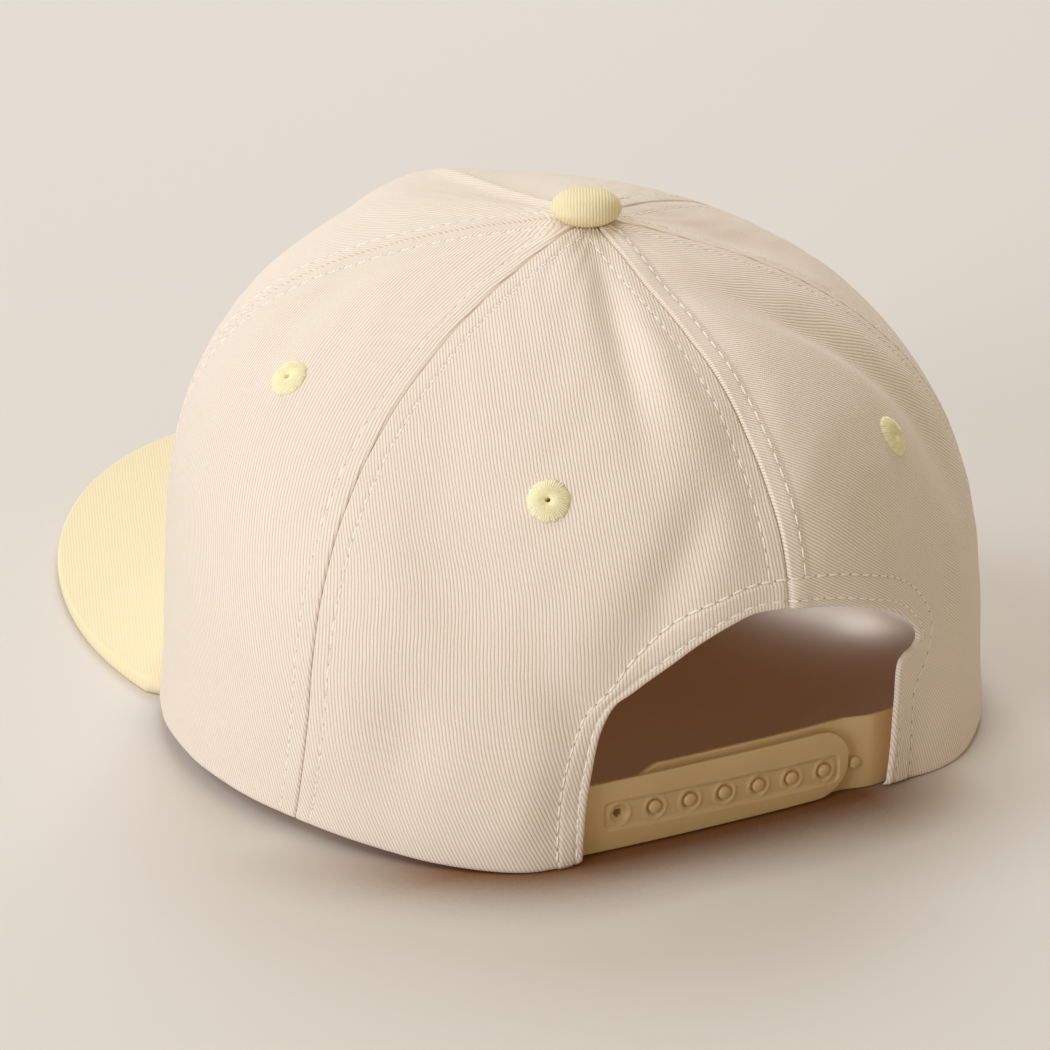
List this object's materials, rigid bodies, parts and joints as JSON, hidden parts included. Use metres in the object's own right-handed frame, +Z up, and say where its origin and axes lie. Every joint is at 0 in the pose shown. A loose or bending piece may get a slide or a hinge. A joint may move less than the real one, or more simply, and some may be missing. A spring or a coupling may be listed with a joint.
{
  "type": "trucker hat",
  "caption": "Twill trucker hat with a tall raked front panel, a flat oval peak, a covered top button, stitched eyelets and a snap strap across the arched opening at the back.",
  "frame": {"origin": "on the ground, under the middle of the hat's box", "axes": "+Z up from the rim to the top button, -Y the way the peak points, +X the wearer's left"},
  "size_m": [0.1674, 0.247, 0.1072],
  "materials": {
    "crown_twill": "matt cream cotton twill",
    "peak_twill": "matt pale yellow cotton twill",
    "eyelet_thread": "pale yellow embroidery thread with a slight sheen",
    "sweatband_cloth": "matt cream twill band",
    "strap_plastic": "satin beige plastic, slightly see-through"
  },
  "bodies": {
    "root": {"front_panel": "crown_twill", "side_panel_left": "crown_twill", "side_panel_right": "crown_twill", "back_panel_left": "crown_twill", "back_panel_right": "crown_twill", "sweatband": "sweatband_cloth", "peak": "peak_twill", "top_button": "peak_twill", "eyelet_side_left": "eyelet_thread", "eyelet_side_right": "eyelet_thread", "eyelet_back_left": "eyelet_thread", "eyelet_back_right": "eyelet_thread", "strap_with_holes": "strap_plastic", "strap_with_pegs": "strap_plastic"}
  },
  "joints": []
}
